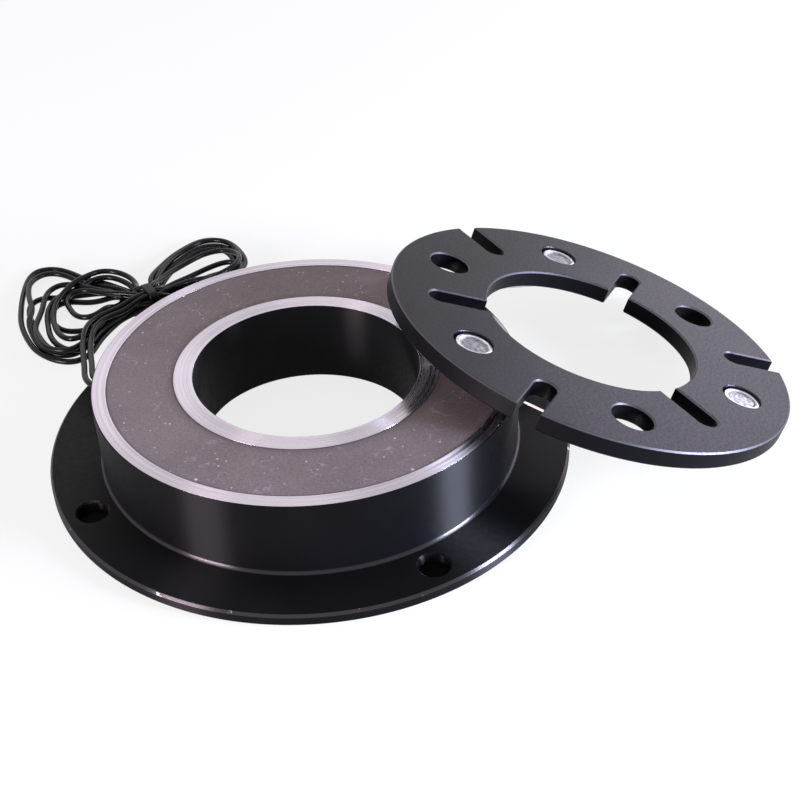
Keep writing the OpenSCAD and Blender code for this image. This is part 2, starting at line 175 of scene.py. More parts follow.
def smoothLine(points, step, perSpan=24):
    # centripetal spline through the points, sampled evenly
    p = np.array(points, float)
    p = np.vstack([2 * p[0] - p[1], p, 2 * p[-1] - p[-2]])
    out = []
    for i in range(1, len(p) - 2):
        a, b, c, d = p[i - 1:i + 3]
        t = np.cumsum([0] + [np.linalg.norm(v) ** 0.5 for v in (b - a, c - b, d - c)])
        for s in np.linspace(t[1], t[2], perSpan, endpoint=False):
            ab = ((t[1] - s) * a + (s - t[0]) * b) / (t[1] - t[0])
            bc = ((t[2] - s) * b + (s - t[1]) * c) / (t[2] - t[1])
            cd = ((t[3] - s) * c + (s - t[2]) * d) / (t[3] - t[2])
            abc = ((t[2] - s) * ab + (s - t[0]) * bc) / (t[2] - t[0])
            bcd = ((t[3] - s) * bc + (s - t[1]) * cd) / (t[3] - t[1])
            out.append(((t[2] - s) * abc + (s - t[1]) * bcd) / (t[2] - t[1]))
    out = np.array(out + [p[-2]])
    run = np.concatenate([[0], np.cumsum(np.linalg.norm(np.diff(out, axis=0), axis=1))])
    at = np.linspace(0, run[-1], int(run[-1] / step) + 1)
    return np.stack([np.interp(at, run, out[:, k]) for k in range(3)], 1)


def throughTie(place):
    return [tiePoint(place, -lead["tieRun"]), tiePoint(place, lead["tieRun"])]


def wireRoute(wire):
    side = 1 - 2 * wire
    points = [tuple(np.array(p) + side * np.array(q)) for p, q in zip(lead["free"], lead["spread"])]
    for turn in rounds:
        points += throughTie(turn["near"][wire])
        part = turn["in"][wire]
        points += [(o[0] + (i[0] - o[0]) * part, o[1] + (i[1] - o[1]) * part, turn["slimZ"])
                   for o, i in zip(slim, lowSlim)]
        row, across = turn["far"][wire]
        points += [tiePoint((row, across + more), ahead) for more, ahead in lead["fold"]]
        points += [(*p, turn["wideZ"]) for p in turn["wide"][wire]]
    last = back[wire]
    points += [(*p, lead["lowZ"]) for p in last["loop"]]
    points += throughTie(last["near"]) + last["end"]
    return smoothLine(points, lead["step"])


def closePairs(now, which, number, v):
    # points that lie near each other, apart from neighbours on the same wire
    pairs = []
    for k in range(0, len(now), v["block"]):
        far = np.linalg.norm(now[k:k + v["block"], None] - now[None], axis=2)
        i, j = np.nonzero(far < v["searchReach"] * lead["thick"])
        i = i + k
        ok = (i < j) & ((which[i] != which[j]) | (np.abs(number[i] - number[j]) > v["sameWire"]))
        pairs.append(np.stack([i[ok], j[ok]]))
    return np.hstack(pairs)


def pushApart(now, i, j, v):
    thick = lead["thick"]
    gap = now[i] - now[j]
    far = np.linalg.norm(gap, axis=1)
    push = np.clip(v["apart"] * thick - far, 0, None) * v["push"]
    gap = gap / np.maximum(far, 1e-6)[:, None] * push[:, None]
    move = np.zeros_like(now)
    np.add.at(move, i, gap)
    np.add.at(move, j, -gap)
    hits = np.zeros(len(now))
    np.add.at(hits, i, push > 0)
    np.add.at(hits, j, push > 0)
    return move / np.maximum(1, hits * v["share"])[:, None]


def softened(shift):
    # spreads each move over the points beside it
    for _ in range(2):
        part = shift.copy()
        part[1:-1] = 0.5 * part[1:-1] + 0.25 * (shift[2:] + shift[:-2])
        shift = part
    return shift


def openBends(line, v):
    # how far the points from the fourth to the fourth last move where the bend is too tight
    a, b, c = line[:-6], line[3:-3], line[6:]
    sides = np.prod([np.linalg.norm(p, axis=1) for p in (b - a, c - b, c - a)], axis=0)
    radius = sides / np.maximum(2 * np.linalg.norm(np.cross(b - a, c - a), axis=1), 1e-9)
    tight = np.convolve(radius < v["leastBend"], np.ones(5), "same") > 0
    return np.where(tight, v["bendPull"], 0)[:, None] * ((line[2:-4] + line[4:-2]) / 2 - b)


def settle(wires, v):
    # lets the loops sink onto the floor and push each other apart, a wire's thickness each
    rest = np.vstack(wires)
    which = np.concatenate([[i] * len(w) for i, w in enumerate(wires)])
    number = np.concatenate([np.arange(len(w)) for w in wires])
    ends = np.cumsum([0] + [len(w) for w in wires])
    spans = list(zip(ends[:-1], ends[1:]))
    a = math.radians(lead["tieTurn"])
    away = rest[:, :2] - np.array(lead["tieAt"])
    ahead, aside = away @ (math.cos(a), math.sin(a)), away @ (-math.sin(a), math.cos(a))
    tied = (np.abs(ahead) < v["tieHalf"][0]) & (np.abs(aside) < v["tieHalf"][1])
    held = np.zeros(len(rest), bool)
    for start, end in spans:
        held[start:start + v["heldPoints"][0]] = True
        held[end - v["heldPoints"][1]:end] = True
    lowest = lead["thick"] / 2 - rest[:, 2]
    shift = np.zeros_like(rest)
    for n in range(v["steps"]):
        now = rest + shift
        if n % v["searchEvery"] == 0:
            i, j = closePairs(now, which, number, v)
        shift += pushApart(now, i, j, v)
        shift[:, 2] -= v["sink"] * max(0.0, 1 - n / (v["sinkUntil"] * v["steps"]))
        shift[:, :2] *= v["back"]
        for start, end in spans:
            shift[start:end] = softened(shift[start:end])
            if n > v["bendFrom"] * v["steps"]:
                shift[start + 3:end - 3] += openBends(rest[start:end] + shift[start:end], v)
        shift[tied] *= v["tieHold"]
        shift[held] = 0
        shift[:, 2] = np.maximum(shift[:, 2], lowest)
    now = rest + shift
    return [now[start:end] for start, end in spans]


def cordCurve(name, line, thick, every=2.5):
    # the first and last point are mirrored outwards, so that the spline starts and ends on the line's ends
    data = bpy.data.curves.new(name, "CURVE")
    data.dimensions = "3D"
    data.bevel_depth = thick / 2 * mm
    data.bevel_resolution = 4
    data.use_fill_caps = True
    spline = data.splines.new("NURBS")
    at = np.linspace(0, len(line) - 1, round((len(line) - 1) / every) + 1)
    points = np.stack([np.interp(at, np.arange(len(line)), line[:, k]) for k in range(3)], 1) * mm
    points = np.vstack([2 * points[0] - points[1], points, 2 * points[-1] - points[-2]])
    spline.points.add(len(points) - 1)
    for point, p in zip(spline.points, points):
        point.co = (*p, 1)
    spline.order_u = 4
    spline.resolution_u = 3
    piece = bpy.data.objects.new(name, data)
    scene.collection.objects.link(piece)
    return piece


def lineLength(line):
    return float(np.linalg.norm(np.diff(line, axis=0), axis=1).sum()) * mm


wireLines = settle([wireRoute(0), wireRoute(1)], settling)
leads = [cordCurve(f"lead_wire_{name}", line, lead["thick"]) for name, line in zip("ab", wireLines)]
print("leads laid:", [round(lineLength(line), 3) for line in wireLines], "m")


# Materials
def newMaterial(name):
    mat = bpy.data.materials.new(name)
    mat.use_nodes = True
    tree = mat.node_tree
    return mat, tree, tree.nodes["Principled BSDF"]


def addNode(tree, kind, inputs=None, **settings):
    node = tree.nodes.new(kind)
    for key, value in settings.items():
        setattr(node, key, value)
    for key, value in (inputs or {}).items():
        if isinstance(value, bpy.types.NodeSocket):
            tree.links.new(value, node.inputs[key])
        else:
            node.inputs[key].default_value = value
    return node


def maths(tree, operation, a, b=0.0):
    return addNode(tree, "ShaderNodeMath", {0: a, 1: b}, operation=operation).outputs[0]


def ramp(tree, value, low, high, start=0.0, end=1.0):
    inputs = {"Value": value, "From Min": low, "From Max": high, "To Min": start, "To Max": end}
    return addNode(tree, "ShaderNodeMapRange", inputs, interpolation_type="SMOOTHSTEP").outputs[0]


def mixColour(tree, factor, a, b):
    node = tree.nodes.new("ShaderNodeMix")
    node.data_type = "RGBA"
    for socket, value in ((node.inputs[0], factor), (node.inputs[6], a), (node.inputs[7], b)):
        if isinstance(value, bpy.types.NodeSocket):
            tree.links.new(value, socket)
        else:
            socket.default_value = value if isinstance(value, float) else (*value, 1)
    return node.outputs[2]


def noise(tree, vector, scale, detail=3.0, rough=0.55):
    inputs = {"Vector": vector, "Scale": scale, "Detail": detail, "Roughness": rough}
    return addNode(tree, "ShaderNodeTexNoise", inputs).outputs[0]


def lineNoise(tree, along, scale):
    inputs = {"W": along, "Scale": scale, "Detail": 2.0}
    return addNode(tree, "ShaderNodeTexNoise", inputs, noise_dimensions="1D").outputs[0]


def bump(tree, shader, height, depth, strength=1.0, under=None):
    inputs = {"Height": height, "Distance": depth, "Strength": strength}
    if under is not None:
        inputs["Normal"] = under
    node = addNode(tree, "ShaderNodeBump", inputs)
    tree.links.new(node.outputs[0], shader.inputs["Normal"])
    return node.outputs[0]


def objectSpace(tree):
    return addNode(tree, "ShaderNodeTexCoord").outputs["Object"]


def axisSpace(tree, centre=None, turn=None):
    # position, radius and height in object space, or in a frame with its own middle and turn
    place = objectSpace(tree)
    if centre is not None:
        away = addNode(tree, "ShaderNodeVectorMath", {0: place, 1: centre}, operation="SUBTRACT").outputs[0]
        inputs = {"Vector": away, "Rotation": turn}
        place = addNode(tree, "ShaderNodeVectorRotate", inputs, rotation_type="EULER_XYZ", invert=True).outputs[0]
    x, y, z = addNode(tree, "ShaderNodeSeparateXYZ", {0: place}).outputs
    radius = maths(tree, "SQRT", maths(tree, "ADD", maths(tree, "MULTIPLY", x, x), maths(tree, "MULTIPLY", y, y)))
    return place, radius, z


def scaled(colour, factor):
    return tuple(factor * c for c in colour)


# Finish of the turned body
steel = {
    "black": (0.0018, 0.0018, 0.0024),
    "blackRough": 0.42,
    "edge": (0.055, 0.052, 0.056),
    "bare": (0.465, 0.425, 0.475),
    "bareRough": 0.27,
    "poleZ": 21.67 * mm,
    # where the flange's worn rim and the bright fillet at the wall's foot fade in
    "rimR": (61.88 * mm, 62.0 * mm),
    "rimZ": (2.4 * mm, 2.5 * mm),
    "footR": (50.7 * mm, 50.45 * mm),
    "footZ": (3.75 * mm, 3.5 * mm),
    "footInside": 49.9 * mm,
    "turnedScale": 5200.0,
    "coarseScale": 1300.0,
    "anisotropy": 1.0,
    "grainTurn": 0.25,
    "specular": 0.1,
}


def bodyFinish(s):
    mat, tree, shader = newMaterial("blackened_body")
    place, radius, z = axisSpace(tree)
    along = maths(tree, "ADD", radius, z)
    turned = lineNoise(tree, along, s["turnedScale"])
    coarse = lineNoise(tree, along, s["coarseScale"])
    cloud = noise(tree, place, 60.0)
    fine = noise(tree, place, 900.0, 2.0)
    face = maths(tree, "GREATER_THAN", z, s["poleZ"])
    rim = maths(tree, "MULTIPLY", ramp(tree, radius, *s["rimR"]), ramp(tree, z, *s["rimZ"]))
    foot = maths(tree, "MULTIPLY", ramp(tree, radius, *s["footR"]), ramp(tree, z, *s["footZ"]))
    foot = maths(tree, "MULTIPLY", foot, maths(tree, "GREATER_THAN", radius, s["footInside"]))
    polished = maths(tree, "MAXIMUM", rim, foot)
    worn = maths(tree, "MULTIPLY", rim, ramp(tree, noise(tree, place, 260.0, 4.0, 0.7), 0.62, 0.68))
    worn = maths(tree, "MAXIMUM", face, worn)
    metal = maths(tree, "MAXIMUM", worn, polished)
    bare = mixColour(tree, ramp(tree, turned, 0.35, 0.65), s["bare"], scaled(s["bare"], 0.9))
    bare = mixColour(tree, ramp(tree, cloud, 0.35, 0.7), bare, scaled(s["bare"], 0.94))
    black = mixColour(tree, ramp(tree, cloud, 0.3, 0.7), s["black"], scaled(s["black"], 1.6))
    black = mixColour(tree, polished, black, s["edge"])
    tree.links.new(mixColour(tree, worn, black, bare), shader.inputs["Base Color"])
    tree.links.new(metal, shader.inputs["Metallic"])
    roughBlack = ramp(tree, fine, 0.3, 0.7, s["blackRough"] - 0.03, s["blackRough"] + 0.05)
    roughBare = ramp(tree, coarse, 0.3, 0.7, s["bareRough"] - 0.05, s["bareRough"] + 0.07)
    rough = maths(tree, "ADD", maths(tree, "MULTIPLY", roughBare, metal),
                  maths(tree, "MULTIPLY", roughBlack, maths(tree, "SUBTRACT", 1.0, metal)))
    tree.links.new(rough, shader.inputs["Roughness"])
    shader.inputs["Anisotropic"].default_value = s["anisotropy"]
    shader.inputs["Anisotropic Rotation"].default_value = s["grainTurn"]
    shader.inputs["Specular IOR Level"].default_value = s["specular"]
    ring = addNode(tree, "ShaderNodeTangent", direction_type="RADIAL", axis="Z").outputs[0]
    tree.links.new(ring, shader.inputs["Tangent"])
    bump(tree, shader, turned, 0.0015 * mm)
    return mat


# Plate: heights are measured from the friction face
plateSteel = {
    "ground": ((0.0135, 0.0135, 0.0185), (0.0190, 0.0175, 0.0230)),
    "bevel": (0.075, 0.07, 0.08),
    "black": (0.002, 0.002, 0.003),
    "groundZ": (-0.06 * mm, -0.02 * mm),
    "bevelZ": (-0.42 * mm, -0.34 * mm),
    "rough": (0.38, 0.50),
    "grainScale": 1500.0,
    "groundScale": 2600.0,
    "specular": 0.08,
}


def plateFinish(s, plate):
    # ground friction face, bright where the chamfers are worn, black oxide everywhere else
    mat, tree, shader = newMaterial("blackened_plate")
    place, radius, z = axisSpace(tree, plate["centre"], plate["turn"])
    cloud = noise(tree, place, 45.0, 4.0)
    grain = noise(tree, place, s["grainScale"], 3.0, 0.6)
    ground = lineNoise(tree, maths(tree, "ADD", radius, z), s["groundScale"])
    bevel = ramp(tree, z, *s["bevelZ"])
    tone = mixColour(tree, ramp(tree, cloud, 0.3, 0.7), *s["ground"])
    edge = mixColour(tree, bevel, s["black"], s["bevel"])
    tree.links.new(mixColour(tree, ramp(tree, z, *s["groundZ"]), edge, tone), shader.inputs["Base Color"])
    tree.links.new(bevel, shader.inputs["Metallic"])
    shader.inputs["Specular IOR Level"].default_value = s["specular"]
    tree.links.new(ramp(tree, grain, 0.3, 0.7, *s["rough"]), shader.inputs["Roughness"])
    under = bump(tree, shader, grain, 0.004 * mm, 0.6)
    bump(tree, shader, ground, 0.0015 * mm, 0.5, under)
    return mat


# Lining: tints are a colour and a strength, flecks are scale, share of cells left out, size and strength
liningMix = {
    "base": ((0.146, 0.112, 0.117), (0.186, 0.148, 0.151)),
    "pale": ((0.26, 0.215, 0.215), 0.35),
    "pore": ((0.085, 0.067, 0.073), 0.5),
    "thread": ((0.5, 0.45, 0.5), 0.28),
    # the edge tint is painted shade along both pole rings
    "edge": ((0.05, 0.04, 0.046), 0.55),
    "soil": ((0.06, 0.043, 0.047), 0.4),
    # painted shade that darkens the lining towards the inner pole ring
    "fleck": (0.62, 0.57, 0.62),
    "flecks": ((480.0, 0.86, 0.2, 0.75), (950.0, 0.80, 0.25, 0.6)),
    # radii between which painted shade darkens the lining towards its edges, and more painted shade darkens it
    # towards the inner one
    "innerEdge": (31.9 * mm, 31.2 * mm),
    "outerEdge": (45.9 * mm, 46.5 * mm),
    "soiled": (34.0 * mm, 31.1 * mm),
    "cloudScale": 55.0,
    "mottleScale": 420.0,
    "grainScale": 1900.0,
    "threadScale": 210.0,
    "threadDrift": 6.0 * mm,
    "rough": (0.58, 0.75),
    "specular": 0.45,
}


def tint(tree, base, mask, colour, strength):
    return mixColour(tree, maths(tree, "MULTIPLY", mask, strength), base, colour)


def liningFinish(s):
    mat, tree, shader = newMaterial("friction_lining")
    place, radius, _ = axisSpace(tree)
    cloud = noise(tree, place, s["cloudScale"], 5.0, 0.6)
    mottle = noise(tree, place, s["mottleScale"], 4.0, 0.65)
    grain = noise(tree, place, s["grainScale"], 2.0, 0.6)
    base = mixColour(tree, ramp(tree, cloud, 0.32, 0.68), *s["base"])
    base = tint(tree, base, ramp(tree, mottle, 0.5, 0.75), *s["pale"])
    base = tint(tree, base, ramp(tree, grain, 0.60, 0.36), *s["pore"])
    for scale, share, size, strength in s["flecks"]:
        cells = addNode(tree, "ShaderNodeTexVoronoi", {"Vector": place, "Scale": scale, "Randomness": 1.0})
        pick, wide, _ = addNode(tree, "ShaderNodeSeparateColor", {0: cells.outputs["Color"]}).outputs
        near = maths(tree, "MULTIPLY", ramp(tree, wide, 0.0, 1.0, 0.4, 1.0), size)
        fleck = maths(tree, "MULTIPLY", maths(tree, "LESS_THAN", cells.outputs["Distance"], near),
                      ramp(tree, pick, share, 1.0))
        base = tint(tree, base, fleck, s["fleck"], strength)
    # fine threads along the borders of wavy cells
    wave = addNode(tree, "ShaderNodeTexNoise", {"Vector": place, "Scale": 300.0}).outputs["Color"]
    drift = addNode(tree, "ShaderNodeVectorMath", {0: wave, 3: s["threadDrift"]}, operation="SCALE").outputs[0]
    drift = addNode(tree, "ShaderNodeVectorMath", {0: place, 1: drift}, operation="ADD").outputs[0]
    lines = addNode(tree, "ShaderNodeTexVoronoi", {"Vector": drift, "Scale": s["threadScale"]},
                    feature="DISTANCE_TO_EDGE")
    thread = maths(tree, "MULTIPLY", ramp(tree, lines.outputs["Distance"], 0.022, 0.008),
                   ramp(tree, noise(tree, place, 150.0, 2.0), 0.54, 0.62))
    base = tint(tree, base, thread, *s["thread"])
    # painted shade: the lining darkens towards both pole rings, and further towards the inner one
    shadeEdges = maths(tree, "MAXIMUM", ramp(tree, radius, *s["innerEdge"]), ramp(tree, radius, *s["outerEdge"]))
    base = tint(tree, base, shadeEdges, *s["edge"])
    base = tint(tree, base, ramp(tree, radius, *s["soiled"]), *s["soil"])
    tree.links.new(base, shader.inputs["Base Color"])
    tree.links.new(ramp(tree, mottle, 0.3, 0.7, *s["rough"]), shader.inputs["Roughness"])
    shader.inputs["Specular IOR Level"].default_value = s["specular"]
    under = bump(tree, shader, mottle, 0.03 * mm, 0.7)
    bump(tree, shader, grain, 0.012 * mm, 0.7, under)
    return mat


sleeve = {
    "colour": (0.003, 0.003, 0.0035),
    "rough": (0.17, 0.3),
    "specular": 0.14,
    "waveScale": 160.0,
}


def wireFinish(s):
    mat, tree, shader = newMaterial("black_sleeving")
    wave = noise(tree, objectSpace(tree), s["waveScale"], 2.0)
    shader.inputs["Base Color"].default_value = (*s["colour"], 1)
    shader.inputs["Specular IOR Level"].default_value = s["specular"]
    tree.links.new(ramp(tree, wave, 0.3, 0.7, *s["rough"]), shader.inputs["Roughness"])
    bump(tree, shader, wave, 0.02 * mm, 0.4)
    return mat


# Small bright pieces: material, colour, roughness
brightLooks = {
    "leaf_spring": ("spring_steel", (0.55, 0.55, 0.54), 0.35),
    "spring_spacer": ("spacer_steel", (0.5, 0.5, 0.52), 0.4),
    "bare_end": ("tinned_copper", (0.78, 0.77, 0.74), 0.3),
}


# fine scratches that run one way
scratches = {
    "scale": 2600.0,
    "stretch": (1, 0.06, 1),
    "turn": (0, 0, 0.7),
}


def brightMetal(name, colour, rough):
    mat, tree, shader = newMaterial(name)
    place = objectSpace(tree)
    inputs = {"Vector": place, "Scale": scratches["stretch"], "Rotation": scratches["turn"]}
    lines = noise(tree, addNode(tree, "ShaderNodeMapping", inputs).outputs[0], scratches["scale"], 4.0, 0.7)
    cloud = noise(tree, place, 240.0, 3.0)
    tone = mixColour(tree, ramp(tree, lines, 0.3, 0.7), scaled(colour, 0.72), colour)
    tree.links.new(tone, shader.inputs["Base Color"])
    shader.inputs["Metallic"].default_value = 1.0
    tree.links.new(ramp(tree, cloud, 0.3, 0.7, rough - 0.08, rough + 0.1), shader.inputs["Roughness"])
    bump(tree, shader, lines, 0.003 * mm, 0.8)
    return mat


# Rivets: heights are measured from the heads' top plane
rivetSteel = {
    "dish": ((0.12, 0.117, 0.13), (0.29, 0.285, 0.31)),
    "lip": (0.62, 0.61, 0.64),
    "lipZ": (-0.04 * mm, 0.12 * mm),
    "spotScale": 1100.0,
    "rough": (0.42, 0.3),
}


def rivetFinish(s, plate):
    # dull mottled dish with a bright pressed lip round it
    mat, tree, shader = newMaterial("rivet_steel")
    place, _, z = axisSpace(tree, plate["centre"], plate["turn"])
    low, high = (v - plate["headDrop"] for v in s["lipZ"])
    spots = noise(tree, place, s["spotScale"], 4.0, 0.65)
    dish = mixColour(tree, ramp(tree, spots, 0.35, 0.65), *s["dish"])
    lip = maths(tree, "MULTIPLY", ramp(tree, z, low, high), ramp(tree, spots, 0.62, 0.45, 0.55, 1.0))
    tree.links.new(mixColour(tree, lip, dish, s["lip"]), shader.inputs["Base Color"])
    shader.inputs["Metallic"].default_value = 1.0
    tree.links.new(ramp(tree, spots, 0.3, 0.7, *s["rough"]), shader.inputs["Roughness"])
    bump(tree, shader, spots, 0.02 * mm, 0.8)
    return mat


# Plain pieces: material, colour, roughness, scale and depth in mm of the grain, specular level, metallic
plainLooks = {
    "lead_grommet": ("grommet_rubber", (0.02, 0.02, 0.02), 0.55, 900.0, 0.01, 0.35),
    "coil_bobbin": ("bobbin_nylon", (0.72, 0.66, 0.52), 0.5, 500.0, 0.01),
    "coil_winding": ("enamelled_copper", (0.72, 0.33, 0.14), 0.3, 1200.0, 0.05, 0.5, 0.9),
    "coil_tape": ("coil_tape", (0.72, 0.55, 0.12), 0.4, 500.0, 0.01),
    "potting_resin": ("potting_resin", (0.03, 0.04, 0.04), 0.35, 300.0, 0.02),
}
tieLook = ("tie_nylon", (0.003, 0.003, 0.0035), 0.28, 700.0, 0.006, 0.12)


def plainFinish(name, colour, rough, scale, depth, specular=0.5, metallic=0.0):
    mat, tree, shader = newMaterial(name)
    place = objectSpace(tree)
    cloud = noise(tree, place, scale * 0.1, 3.0)
    grain = noise(tree, place, scale, 3.0)
    tone = mixColour(tree, ramp(tree, cloud, 0.3, 0.7), scaled(colour, 0.8), scaled(colour, 1.15))
    tree.links.new(tone, shader.inputs["Base Color"])
    shader.inputs["Metallic"].default_value = metallic
    shader.inputs["Specular IOR Level"].default_value = specular
    tree.links.new(ramp(tree, grain, 0.3, 0.7, rough - 0.05, rough + 0.07), shader.inputs["Roughness"])
    bump(tree, shader, grain, depth * mm, 0.6)
    return mat


def dress(material, *pieces):
    for piece in pieces:
        piece.data.materials.clear()
        piece.data.materials.append(material)


# Turned pieces: a half section that Geometry Nodes sweep round its axis, with roundings in radians and mm
rounding = {
    "stepTurn": 0.22,
    "leastSteps": 3,
    "straight": 0.04,
}


def softSection(corners):
    # corners are radius, height and rounding in mm; each rounding gets an arc and a short straight beside it
    straight = rounding["straight"]
    out = []
    for i, (r, z, soft) in enumerate(corners):
        here = np.array((r, z), float)
        if not soft:
            out.append(here)
            continue
        back, ahead = (np.array(c[:2], float) - here for c in (corners[i - 1], corners[(i + 1) % len(corners)]))
        back, ahead = back / np.linalg.norm(back), ahead / np.linalg.norm(ahead)
        half = math.acos(back @ ahead) / 2
        trim, turn = soft / math.tan(half), math.pi - 2 * half
        middle = here + (back + ahead) / np.linalg.norm(back + ahead) * soft / math.sin(half)
        start, end = here + back * trim - middle, here + ahead * trim - middle
        steps = max(rounding["leastSteps"], round(turn / rounding["stepTurn"]))
        out.append(here + back * (trim + straight))
        for k in range(steps + 1):
            a = turn * k / steps
            out.append(middle + (math.sin(turn - a) * start + math.sin(a) * end) / math.sin(turn))
        out.append(here + ahead * (trim + straight))
    return out


def sectionObject(name, corners, core):
    # the section lies in the plane that Curve to Mesh sweeps, as far out as the core's radius
    points = softSection(corners)
    closed = all(p[0] > 0 for p in points)
    mesh = bpy.data.meshes.new(name)
    mesh.from_pydata([((p[0] - core) * mm, -p[1] * mm, 0) for p in points],
                     [(i, (i + 1) % len(points)) for i in range(len(points) - (not closed))], [])
    piece = bpy.data.objects.new(name, mesh)
    scene.collection.objects.link(piece)
    return piece


def newTree(name, sockets):
    tree = bpy.data.node_groups.new(name, "GeometryNodeTree")
    for label, kind in sockets.items():
        tree.interface.new_socket(label, in_out="INPUT", socket_type="NodeSocket" + kind)
    tree.interface.new_socket("Piece", in_out="OUTPUT", socket_type="NodeSocketGeometry")
    return tree, tree.nodes.new("NodeGroupInput").outputs


def sweep(tree, section, around, core):
    outline = addNode(tree, "GeometryNodeMeshToCurve", {0: section}).outputs[0]
    ring = addNode(tree, "GeometryNodeCurvePrimitiveCircle", {"Resolution": around, "Radius": core}).outputs[0]
    swept = addNode(tree, "GeometryNodeCurveToMesh", {"Curve": ring, "Profile Curve": outline}).outputs[0]
    return addNode(tree, "GeometryNodeMergeByDistance", {"Geometry": swept, "Distance": 0.002 * mm}).outputs[0]


def ringOf(tree, piece, count, radius, turn):
    points = addNode(tree, "GeometryNodeMeshCircle", {"Vertices": count, "Radius": radius}).outputs[0]
    points = addNode(tree, "GeometryNodeTransform", {"Geometry": points, "Rotation": turn}).outputs[0]
    copies = addNode(tree, "GeometryNodeInstanceOnPoints", {"Points": points, "Instance": piece}).outputs[0]
    return addNode(tree, "GeometryNodeRealizeInstances", {"Geometry": copies}).outputs[0]


def closeTree(tree, piece, softAngle, finish):
    piece = addNode(tree, "GeometryNodeSetShadeSmooth", {"Geometry": piece, "Shade Smooth": True}).outputs[0]
    angle = addNode(tree, "GeometryNodeInputMeshEdgeAngle").outputs[0]
    sharp = addNode(tree, "FunctionNodeCompare", {"A": angle, "B": softAngle}, operation="GREATER_THAN").outputs[0]
    piece = addNode(tree, "GeometryNodeSetShadeSmooth", {"Geometry": piece, "Selection": sharp,
                                                         "Shade Smooth": False}, domain="EDGE").outputs[0]
    piece = addNode(tree, "GeometryNodeRealizeInstances", {"Geometry": piece}).outputs[0]
    piece = addNode(tree, "GeometryNodeSetMaterial", {"Geometry": piece, "Material": finish}).outputs[0]
    out = tree.nodes.new("NodeGroupOutput")
    tree.links.new(piece, out.inputs[0])


def inMetres(*lengths):
    return tuple(length * mm for length in lengths)


def grow(piece, tree, **values):
    # sets the tree's inputs, takes the result as a plain mesh and drops the modifier
    modifier = piece.modifiers.new(tree.name, "NODES")
    modifier.node_group = tree
    for item in tree.interface.items_tree:
        key = item.name.replace(" ", "")
        key = key[0].lower() + key[1:]
        if item.in_out == "INPUT" and key in values:
            modifier[item.identifier] = values[key]
    made = piece.evaluated_get(bpy.context.evaluated_depsgraph_get())
    mesh = bpy.data.meshes.new_from_object(made)
    piece.modifiers.clear()
    piece.data = mesh
    mesh.name = piece.name
    return piece


# the core is the radius of the circle that a section is swept along
yoke = {
    "core": 50,
    "around": 256,
    "softAngle": 0.6,
    "section": [(26.5, 0.75, 0.1), (27.25, 0, 0), (62.0, 0, 0), (62.5, 0.5, 0), (62.5, 2.5, 0.15), (62.0, 3, 0.15),
                (50, 3, 0.7), (50, 21.45, 0), (49.75, 21.7, 0.08), (46.6, 21.7, 0.06), (46.6, 4.5, 0), (31.1, 4.5, 0),
                (31.1, 21.7, 0.06), (26.75, 21.7, 0.08), (26.5, 21.45, 0.08)],
    "holeCount": 4,
    "holeCircle": 56,
    "holeTurn": 45,
    "holeCore": 1,
    "holeAround": 48,
    "hole": [(0, 4, 0), (4.9, 4, 0), (3.5, 2.6, 0), (3.5, 0.4, 0), (4.9, -1, 0), (0, -1, 0)],
    # cutter for the leads' way out through the wall
    "exit": (-48.3, 0, 8),
    "exitRadius": 3,
    "exitDepth": 6,
}


def makeYoke(y, finish):
    tree, given = newTree("turned yoke", {
        "Section": "Geometry", "Around": "Int", "Core": "Float", "Hole Section": "Object", "Hole Count": "Int",
        "Hole Circle": "Float", "Hole Turn": "Vector", "Exit Place": "Vector", "Exit Radius": "Float",
        "Soft Angle": "Float", "Finish": "Material"})
    body = sweep(tree, given["Section"], given["Around"], given["Core"])
    section = addNode(tree, "GeometryNodeObjectInfo", {"Object": given["Hole Section"]}).outputs["Geometry"]
    hole = sweep(tree, section, y["holeAround"], y["holeCore"] * mm)
    holes = ringOf(tree, hole, given["Hole Count"], given["Hole Circle"], given["Hole Turn"])
    exitHole = addNode(tree, "GeometryNodeMeshCylinder", {"Vertices": y["holeAround"], "Radius": given["Exit Radius"],
                                                          "Depth": y["exitDepth"] * mm}).outputs[0]
    exitHole = addNode(tree, "GeometryNodeTransform", {"Geometry": exitHole, "Translation": given["Exit Place"],
                                                       "Rotation": (0, math.pi / 2, 0)}).outputs[0]
    cut = addNode(tree, "GeometryNodeMeshBoolean", {"Mesh 1": body, "Mesh 2": holes}, operation="DIFFERENCE",
                  solver="EXACT")
    tree.links.new(exitHole, cut.inputs["Mesh 2"])
    closeTree(tree, cut.outputs[0], given["Soft Angle"], given["Finish"])
    piece = sectionObject("yoke_turned", y["section"], y["core"])
    holeSection = sectionObject("hole_section", y["hole"], y["holeCore"])
    grow(piece, tree, around=y["around"], core=y["core"] * mm, holeSection=holeSection, holeCount=y["holeCount"],
         holeCircle=y["holeCircle"] * mm, holeTurn=(0, 0, math.radians(y["holeTurn"])),
         exitPlace=inMetres(*y["exit"]), exitRadius=y["exitRadius"] * mm, softAngle=y["softAngle"], finish=finish)
    bpy.data.objects.remove(holeSection)
    return piece


rivet = {
    "count": 3,
    "shank": 2.5,
    "tail": 3.7,
    "tailDepth": 1.1,
    "tailSoft": 0.25,
    "core": 1,
    "around": 64,
    "softAngle": 0.7,
    # head seen from its top plane: dished middle, raised lip
    "head": [(0, -0.12, 0), (3.1, -0.16, 0.3), (3.75, 0.22, 0.2), (4.45, 0.16, 0.25), (4.65, -0.3, 0.15),
             (4.65, -1.1, 0)],
}


